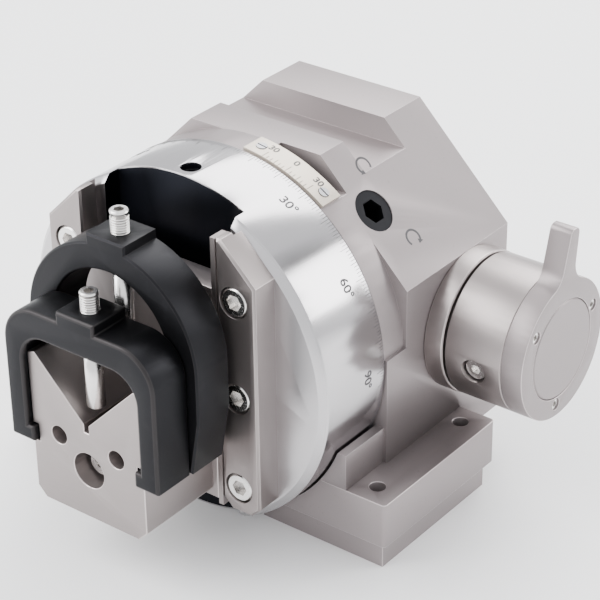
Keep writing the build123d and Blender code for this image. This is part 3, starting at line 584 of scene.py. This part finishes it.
class Tree:
    """A Geometry Nodes tree on a carrier object, with named inputs."""

    def __init__(self, name):
        self.group = bpy.data.node_groups.new(name, "GeometryNodeTree")
        self.group.interface.new_socket("Geometry", in_out="OUTPUT", socket_type="NodeSocketGeometry")
        self.entry = self.group.nodes.new("NodeGroupInput")
        self.exit = self.group.nodes.new("NodeGroupOutput")
        self.sizes = {}

    def size(self, name, kind, amount):
        """Adds a named input and returns its value."""
        socket = self.group.interface.new_socket(name, in_out="INPUT", socket_type="NodeSocket" + kind)
        self.sizes[socket.identifier] = amount
        found = next(output for output in self.entry.outputs if output.identifier == socket.identifier)
        return Value(self.group, found)

    def node(self, kind, settings=None, inputs=None):
        return add_node(self.group, kind, settings, inputs)

    def value(self, socket):
        return Value(self.group, socket)

    def vector(self, x, y, z):
        return self.value(self.node("ShaderNodeCombineXYZ", inputs={0: x, 1: y, 2: z}).outputs[0])

    def finish(self, geometry, finish_name):
        """Ends the tree, runs it and returns the plain mesh."""
        real = self.node("GeometryNodeRealizeInstances", inputs={"Geometry": geometry})
        coated = self.node("GeometryNodeSetMaterial", inputs={"Geometry": self.value(real.outputs[0])})
        coated.inputs["Material"].default_value = FINISHES[finish_name]
        self.group.links.new(coated.outputs[0], self.exit.inputs[0])
        carrier = bpy.data.objects.new(self.group.name, bpy.data.meshes.new(self.group.name))
        bpy.context.scene.collection.objects.link(carrier)
        modifier = carrier.modifiers.new("tree", "NODES")
        modifier.node_group = self.group
        for identifier, amount in self.sizes.items():
            modifier[identifier] = amount
        return settled(carrier, self.group.name)


def rim_marks(name, body, count, step, start, radius, edge, way, length, width, fifths=(5, 10)):
    """Marks round a rim from an edge, along Y one way or the other, longer at two steps of the count."""
    tree = Tree(name)
    count = tree.size("Count", "Int", count)
    step = tree.size("Step angle", "Float", step)
    start = tree.size("Start angle", "Float", start)
    radius = tree.size("Radius", "Float", radius)
    length = tree.size("Shortest length", "Float", length)
    width = tree.size("Width", "Float", width)
    edge = tree.size("Edge place", "Float", edge)
    way = tree.size("Way", "Float", way)
    points = tree.node("GeometryNodeMeshLine", inputs={"Count": count, "Offset": (0, 0, 0)})
    index = tree.value(tree.node("GeometryNodeInputIndex").outputs[0])
    stretch = 1 + 0.55 * ((index % fifths[0]) < 0.5) + 0.55 * ((index % fifths[1]) < 0.5)
    angle = start + index * step
    along = edge + way * length * stretch / 2
    place = tree.vector(SPINDLE.x + radius * angle.sine(), along, SPINDLE.z + radius * angle.cosine())
    inputs = {"Geometry": tree.value(points.outputs[0]), "Position": place}
    moved = tree.node("GeometryNodeSetPosition", inputs=inputs)
    bar = tree.node("GeometryNodeMeshCube", inputs={"Size": tree.vector(width, length, BAR_THICKNESS)})
    inputs = {
        "Points": tree.value(moved.outputs[0]),
        "Instance": tree.value(bar.outputs[0]),
        "Rotation": tree.vector(0.0, angle, 0.0),
        "Scale": tree.vector(1.0, stretch, 1.0),
    }
    bars = tree.node("GeometryNodeInstanceOnPoints", inputs=inputs)
    mesh = tree.finish(tree.value(bars.outputs[0]), "ink")
    link_piece(name, mesh, body, "black_oxide", "ink")


def threaded_core(node, core, low_z, high_z):
    """Stands for a clamping screw with its threaded stretch turned down to the thread's root."""
    centre = middle(node)
    run_out = 0.05 * MM
    work = bmesh.new()
    work.from_mesh(frame["nodes"][node].data)
    bmesh.ops.remove_doubles(work, verts=work.verts, dist=SEAM)
    for height in (low_z, low_z + run_out, high_z - run_out, high_z):
        everything = [*work.verts, *work.edges, *work.faces]
        bmesh.ops.bisect_plane(work, geom=everything, plane_co=(0, 0, height), plane_no=(0, 0, 1))
    for vertex in work.verts:
        away = Vector((vertex.co.x - centre.x, vertex.co.y - centre.y, 0))
        if low_z + run_out / 2 < vertex.co.z < high_z - run_out / 2 and away.length > 0.9 * core:
            vertex.co += away.normalized() * (core - away.length)
    mesh = bpy.data.meshes.new(node + "_core")
    work.to_mesh(mesh)
    work.free()
    piece = link_piece(node + "_core", mesh, body_of(node), "bright_screw")
    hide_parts(node)


def thread_ridges(node, pitch, core, crest, low_z, high_z):
    """Thread ridges round a clamping screw between two heights."""
    centre = middle(node)
    tree = Tree(node + "_thread")
    count = tree.size("Turns", "Int", int((high_z - low_z) / pitch) - 1)
    rise = tree.size("Pitch", "Float", pitch)
    radius = tree.size("Radius", "Float", core)
    crest = tree.size("Crest", "Float", crest)
    inputs = {
        "Count": count,
        "Start Location": (centre.x, centre.y, low_z + pitch),
        "Offset": tree.vector(0.0, 0.0, rise),
    }
    points = tree.node("GeometryNodeMeshLine", inputs=inputs)
    path = tree.node("GeometryNodeCurvePrimitiveCircle", inputs={"Resolution": 40, "Radius": radius})
    section = tree.node("GeometryNodeCurvePrimitiveCircle", inputs={"Resolution": 8, "Radius": crest})
    curves = {"Curve": tree.value(path.outputs[0]), "Profile Curve": tree.value(section.outputs[0])}
    ring = tree.node("GeometryNodeCurveToMesh", inputs=curves)
    inputs = {"Points": tree.value(points.outputs[0]), "Instance": tree.value(ring.outputs[0])}
    rings = tree.node("GeometryNodeInstanceOnPoints", inputs=inputs)
    mesh = tree.finish(tree.value(rings.outputs[0]), "bright_screw")
    link_piece(node + "_thread", mesh, body_of(node), "bright_screw")


def text_mesh(text, size):
    """A numeral as a plain mesh, centred on the origin in the XY plane."""
    curve = bpy.data.curves.new("numeral", "FONT")
    curve.body, curve.size, curve.extrude = text, size, NUMERAL_RISE
    curve.offset = NUMERAL_WEIGHT
    curve.align_x, curve.align_y = "CENTER", "CENTER"
    carrier = bpy.data.objects.new("numeral", curve)
    bpy.context.scene.collection.objects.link(carrier)
    return settled(carrier, "numeral")


def join_meshes(name, parts):
    """One mesh made of several meshes, each moved by its own matrix or function."""
    work = bmesh.new()
    for mesh, move in parts:
        part = bmesh.new()
        part.from_mesh(mesh)
        for vertex in part.verts:
            vertex.co = move(vertex.co)
        moved = bpy.data.meshes.new("moved")
        part.to_mesh(moved)
        part.free()
        work.from_mesh(moved)
    bmesh.ops.remove_doubles(work, verts=work.verts, dist=1e-7)
    bmesh.ops.recalc_face_normals(work, faces=work.faces)
    joined = bpy.data.meshes.new(name)
    work.to_mesh(joined)
    work.free()
    return joined


def wrap_on_rim(angle, y, radius):
    """Bends a flat numeral onto the rim, its top towards +Y."""

    def move(point):
        turn = angle + point.x / radius
        reach = radius + point.z
        return Vector((SPINDLE.x + reach * math.sin(turn), y + point.y, SPINDLE.z + reach * math.cos(turn)))

    return move


# ---- operators ----
class FIXTURE_OT_housing(bpy.types.Operator):
    """Finish the housing and everything fixed to it"""

    bl_idname = "fixture.housing"
    bl_label = "Housing"

    def execute(self, context):
        edges = context.scene.fixture_edges
        softened("base_body", edges.casting, keep_sharp=rests_on_plate)
        softened("base_plate", edges.casting)
        softened("wheel_ring", edges.machined)
        for node in frame["record"]["behaviour"]["bodies"]["housing"]:
            if node not in ("base_body", "base_plate", "wheel_ring"):
                coat(node)
        coat("vernier_screws", "gear_steel")
        return {"FINISHED"}


class FIXTURE_OT_drum(bpy.types.Operator):
    """Finish the drum, its shaft and its screws"""

    bl_idname = "fixture.drum"
    bl_label = "Drum and spindle"

    def execute(self, context):
        softened("graduated_drum", context.scene.fixture_edges.machined)
        for node in frame["record"]["behaviour"]["bodies"]["spindle"]:
            if node not in ("graduated_drum", "left_guide", "right_guide"):
                coat(node)
        return {"FINISHED"}


class FIXTURE_OT_degree_scale(bpy.types.Operator):
    """Lay the degree marks and the numerals on the drum"""

    bl_idname = "fixture.degree_scale"
    bl_label = "Degree scale"

    def execute(self, context):
        scale = context.scene.fixture_scale
        rim_marks(
            "degree_marks", "spindle", scale.degrees, 2 * math.pi / scale.degrees, 0.0, DRUM_RADIUS,
            DRUM_HIGH.y - MARK_PLACE, -1.0, scale.mark_length, scale.mark_width,
        )
        parts = []
        centre_y = DRUM_HIGH.y - NUMERAL_PLACE
        for angle in range(scale.numeral_step, 360, scale.numeral_step):
            shown = min(angle, 360 - angle)
            label = text_mesh(str(shown) + "°", scale.numeral_size)
            parts.append((label, wrap_on_rim(math.radians(angle), centre_y, DRUM_RADIUS)))
        numerals = join_meshes("degree_numerals", parts)
        link_piece("degree_numerals", numerals, "spindle", "black_oxide", "ink")
        return {"FINISHED"}


class FIXTURE_OT_vernier(bpy.types.Operator):
    """Mark the vernier plate"""

    bl_idname = "fixture.vernier"
    bl_label = "Vernier marks"

    def execute(self, context):
        scale = context.scene.fixture_scale
        step = (VERNIER_END - VERNIER_START) / (scale.vernier_marks - 1)
        rim_marks(
            "vernier_marks", "housing", scale.vernier_marks, step, VERNIER_START, SCALE_RADIUS,
            SCALE_LOW.y + VERNIER_PLACE, 1.0, VERNIER_MARK, VERNIER_WIDTH, (3, 6),
        )
        parts = []
        for label, share in (("30", 0.0), ("0", 0.5), ("30", 1.0)):
            mesh = text_mesh(label, VERNIER_NUMERAL)
            angle = VERNIER_START + share * (VERNIER_END - VERNIER_START)
            parts.append((mesh, wrap_on_rim(angle, SCALE_HIGH.y - VERNIER_NUMERAL_PLACE, SCALE_RADIUS)))
        numerals = join_meshes("vernier_numerals", parts)
        link_piece("vernier_numerals", numerals, "housing", "black_oxide", "ink")
        return {"FINISHED"}


def turn_arrow(turn):
    """A mark for a direction of turning: part of a ring that ends in an arrowhead."""
    work = bmesh.new()
    steps = 20
    radius, width, sweep = ARROW_RADIUS, ARROW_WIDTH, ARROW_SWEEP

    def corners(angle, half):
        inner, outer = radius - half, radius + half
        return [Vector((turn * r * math.sin(angle), r * math.cos(angle), 0)) for r in (inner, outer)]

    rows = [corners(-sweep / 2 + sweep * i / steps, width / 2) for i in range(steps + 1)]
    tip = sweep / 2 + 2.2 * width / radius
    rows.append(corners(sweep / 2, 1.5 * width))
    rows.append([Vector((turn * radius * math.sin(tip), radius * math.cos(tip), 0))])
    faces = [[*rows[i], *reversed(rows[i + 1])] for i in range(steps)] + [[*rows[-2], *rows[-1]]]
    for face in faces:
        sheet = [work.verts.new(point) for point in face]
        flat = work.faces.new(sheet)
        raised = bmesh.ops.extrude_face_region(work, geom=[flat])["geom"]
        lifted = [item for item in raised if isinstance(item, bmesh.types.BMVert)]
        bmesh.ops.translate(work, verts=lifted, vec=(0, 0, ARROW_THICKNESS))
    bmesh.ops.recalc_face_normals(work, faces=work.faces)
    mesh = bpy.data.meshes.new("turn_arrow")
    work.to_mesh(mesh)
    work.free()
    return mesh


class FIXTURE_OT_shoulder_marks(bpy.types.Operator):
    """Mark the two ways of turning the spindle clamp on the shoulder"""

    bl_idname = "fixture.shoulder_marks"
    bl_label = "Shoulder marks"

    def execute(self, context):
        slope = Matrix.Rotation(math.radians(45), 4, "Y")
        surface = SPINDLE + CLAMP_OUT * SHOULDER_REACH
        parts = []
        for turn in (-1, 1):
            level = Vector((surface.x, CLAMP.y + MARK_ASIDE, surface.z))
            place = level + CLAMP_DOWN * turn * MARK_REACH
            move = Matrix.Translation(place) @ slope @ Matrix.Rotation(math.radians(90), 4, "Z")
            parts.append((turn_arrow(turn), move.__matmul__))
        marks = join_meshes("shoulder_marks", parts)
        link_piece("shoulder_marks", marks, "housing", "black_oxide", "ink")
        return {"FINISHED"}


class FIXTURE_OT_guides(bpy.types.Operator):
    """Finish the two guides"""

    bl_idname = "fixture.guides"
    bl_label = "Guides"

    def execute(self, context):
        edges = context.scene.fixture_edges
        for node in ("left_guide", "right_guide"):
            softened(node, edges.machined, "guide_steel")
        return {"FINISHED"}


class FIXTURE_OT_carriage(bpy.types.Operator):
    """Finish the slide, the V-block and its screw"""

    bl_idname = "fixture.carriage"
    bl_label = "V-block carriage"

    def execute(self, context):
        edges = context.scene.fixture_edges
        softened("v_block", edges.machined)
        softened("slide_block", edges.machined)
        coat("v_block_screw")
        return {"FINISHED"}


class FIXTURE_OT_yokes(bpy.types.Operator):
    """Finish the two yokes"""

    bl_idname = "fixture.yokes"
    bl_label = "Yokes"

    def execute(self, context):
        edges = context.scene.fixture_edges
        for node in ("front_yoke", "rear_yoke"):
            softened(node, edges.yokes)
        return {"FINISHED"}


class FIXTURE_OT_clamp_screws(bpy.types.Operator):
    """Finish the clamping screws and their threads"""

    bl_idname = "fixture.clamp_screws"
    bl_label = "Clamp screws"

    def execute(self, context):
        coat("spindle_clamp_screw")
        edges = context.scene.fixture_edges
        for yoke in ("front_yoke", "rear_yoke"):
            node = yoke.replace("yoke", "clamp_screw")
            low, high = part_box(node)
            core = (high.x - low.x) / 2 - edges.thread_depth
            bottom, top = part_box(yoke)[1].z - edges.thread_below, high.z - edges.thread_pitch
            crest = 0.95 * edges.thread_depth
            threaded_core(node, core, bottom, top)
            thread_ridges(node, edges.thread_pitch, core, crest, bottom, top)
        return {"FINISHED"}


class FIXTURE_OT_handwheel(bpy.types.Operator):
    """Finish the handwheel"""

    bl_idname = "fixture.handwheel"
    bl_label = "Handwheel"

    def execute(self, context):
        edges = context.scene.fixture_edges
        softened("wheel_hub", edges.machined)
        softened("lever_plate", edges.casting, "housing")
        for node in frame["record"]["behaviour"]["bodies"]["handwheel"]:
            if node == "end_cover":
                coat(node, "housing")
            elif node not in ("wheel_hub", "lever_plate"):
                coat(node)
        return {"FINISHED"}


class FIXTURE_OT_stage(bpy.types.Operator):
    """Lay the floor and set the light and the camera"""

    bl_idname = "fixture.stage"
    bl_label = "Stage"

    def execute(self, context):
        make_floor()
        make_surround()
        make_lights()
        make_camera(context.scene.fixture_stage)
        return {"FINISHED"}


# ---- stage ----
FLOOR_HALF, FLOOR_GAP = 6.0, 0.02 * MM
LIGHT_DISTANCE = 1.1
# Name, around and behind in degrees and as a share, spread in degrees, depth in metres, radiance.
LIGHTS = (
    ("back_box", -14, 0.687, 54, 0.75, 8.0),
    ("right_box", 64, 0.687, 32, 0.60, 9.0),
    ("front_box", -45, -0.55, 60, 0.80, 8.0),
)
SLIT, SLIT_WIDTH = math.radians(43), math.radians(5)
SURROUND_STRENGTH, SLIT_STRENGTH, SLIT_RISE = 1.8, 0.30, 1.25
TARGET = Vector((9.92, 10.19, 48.25)) * MM
SENSOR_WIDTH, SHIFT_X, SHIFT_Y = 36.0, -0.014, 0.0022


def make_floor():
    """A wide pale floor just under the base."""
    work = bmesh.new()
    bmesh.ops.create_grid(work, x_segments=1, y_segments=1, size=FLOOR_HALF)
    mesh = bpy.data.meshes.new("floor")
    work.to_mesh(mesh)
    work.free()
    floor = bpy.data.objects.new("floor", mesh)
    bpy.context.scene.collection.objects.link(floor)
    floor.data.transform(Matrix.Translation((0, 0, PLATE_LOW.z - FLOOR_GAP)))
    paint = Finish("floor_paint", (0.93, 0.93, 0.93), 0.6, 0.0)
    floor.data.materials.append(paint.material)


def softbox(name, around, behind, spread, depth, radiance):
    """A soft light on the cone of directions that the drum's rim mirrors to the camera.

    around turns about the spindle from straight up towards the handwheel, behind is the
    share of the direction that points to the back, and spread is the angle that it fills.
    """
    aside = math.sqrt(1 - behind * behind)
    out = Vector((math.sin(around) * aside, behind, math.cos(around) * aside))
    across = Vector((math.cos(around), 0, -math.sin(around)))
    lamp = bpy.data.lights.new(name, "AREA")
    lamp.shape = "RECTANGLE"
    lamp.size = 2 * LIGHT_DISTANCE * aside * math.tan(spread / 2)
    lamp.size_y = depth
    lamp.energy = radiance * math.pi * lamp.size * lamp.size_y
    obj = bpy.data.objects.new(name, lamp)
    bpy.context.scene.collection.objects.link(obj)
    axes = Matrix((across, out.cross(across), out)).transposed().to_4x4()
    obj.matrix_world = Matrix.Translation(SPINDLE + out * LIGHT_DISTANCE) @ axes


def make_surround():
    """A grey surround, with a darker slit between the back and right boxes."""
    world = bpy.data.worlds.new("studio")
    bpy.context.scene.world = world
    world.use_nodes = True
    tree = world.node_tree
    coordinates = add_node(tree, "ShaderNodeTexCoord").outputs["Generated"]
    parts = add_node(tree, "ShaderNodeSeparateXYZ", inputs={"Vector": Value(tree, coordinates)})
    x, y, z = (Value(tree, output) for output in parts.outputs)
    around = x.maths("ARCTAN2", x, z)
    away = abs(around - SLIT) / SLIT_WIDTH
    level = SLIT_STRENGTH + SLIT_RISE * (away - 0.4).clamped()
    behind = ((y - 0.3) * 4).clamped()
    strength = SURROUND_STRENGTH + (level - SURROUND_STRENGTH) * behind
    background = tree.nodes["Background"]
    background.inputs["Color"].default_value = (0.96, 0.975, 1.0, 1)
    feed(tree, background.inputs["Strength"], strength)


def make_lights():
    """Soft boxes on three sides, which the polished drum mirrors as bright bands."""
    for name, around, behind, spread, depth, radiance in LIGHTS:
        softbox(name, math.radians(around), behind, math.radians(spread), depth, radiance)


def make_camera(stage):
    """Camera at the fixture's three-quarter view."""
    level, height = math.cos(stage.elevation), math.sin(stage.elevation)
    back = Vector((math.sin(stage.azimuth) * level, -math.cos(stage.azimuth) * level, height))
    right = Vector((0, 0, 1)).cross(back).normalized()
    up = back.cross(right)
    turn = Matrix.Rotation(stage.roll, 3, back)
    right, up = turn @ right, turn @ up
    lens = bpy.data.cameras.new("camera")
    lens.lens, lens.sensor_width = stage.lens, SENSOR_WIDTH
    lens.shift_x, lens.shift_y = SHIFT_X, SHIFT_Y
    lens.clip_start, lens.clip_end = 0.01, 20.0
    camera = bpy.data.objects.new("camera", lens)
    bpy.context.scene.collection.objects.link(camera)
    axes = Matrix((right, up, back)).transposed().to_4x4()
    camera.matrix_world = Matrix.Translation(TARGET + back * stage.distance) @ axes
    bpy.context.scene.camera = camera


STEPS = (
    FIXTURE_OT_housing,
    FIXTURE_OT_drum,
    FIXTURE_OT_degree_scale,
    FIXTURE_OT_vernier,
    FIXTURE_OT_shoulder_marks,
    FIXTURE_OT_guides,
    FIXTURE_OT_carriage,
    FIXTURE_OT_yokes,
    FIXTURE_OT_clamp_screws,
    FIXTURE_OT_handwheel,
    FIXTURE_OT_stage,
)


class FIXTURE_PT_panel(bpy.types.Panel):
    """The fixture's pieces in the 3D view's sidebar"""

    bl_idname = "FIXTURE_PT_panel"
    bl_label = "Grinding fixture"
    bl_space_type = "VIEW_3D"
    bl_region_type = "UI"
    bl_category = "Fixture"

    def draw(self, context):
        for step in STEPS:
            self.layout.operator(step.bl_idname)


SETTINGS = {
    "fixture_finish": FinishSettings,
    "fixture_scale": ScaleSettings,
    "fixture_edges": EdgeSettings,
    "fixture_stage": StageSettings,
}
CLASSES = (*SETTINGS.values(), *STEPS, FIXTURE_PT_panel)


def register():
    for cls in CLASSES:
        bpy.utils.register_class(cls)
    for name, group in SETTINGS.items():
        setattr(bpy.types.Scene, name, PointerProperty(type=group))


def unregister():
    for name in SETTINGS:
        delattr(bpy.types.Scene, name)
    for cls in reversed(CLASSES):
        bpy.utils.unregister_class(cls)


def main():
    """Builds every piece."""
    register()
    FINISHES.update(make_finishes())
    for step in STEPS:
        group, name = step.bl_idname.split(".")
        getattr(getattr(bpy.ops, group), name)()


if __name__ == "__main__":
    main()
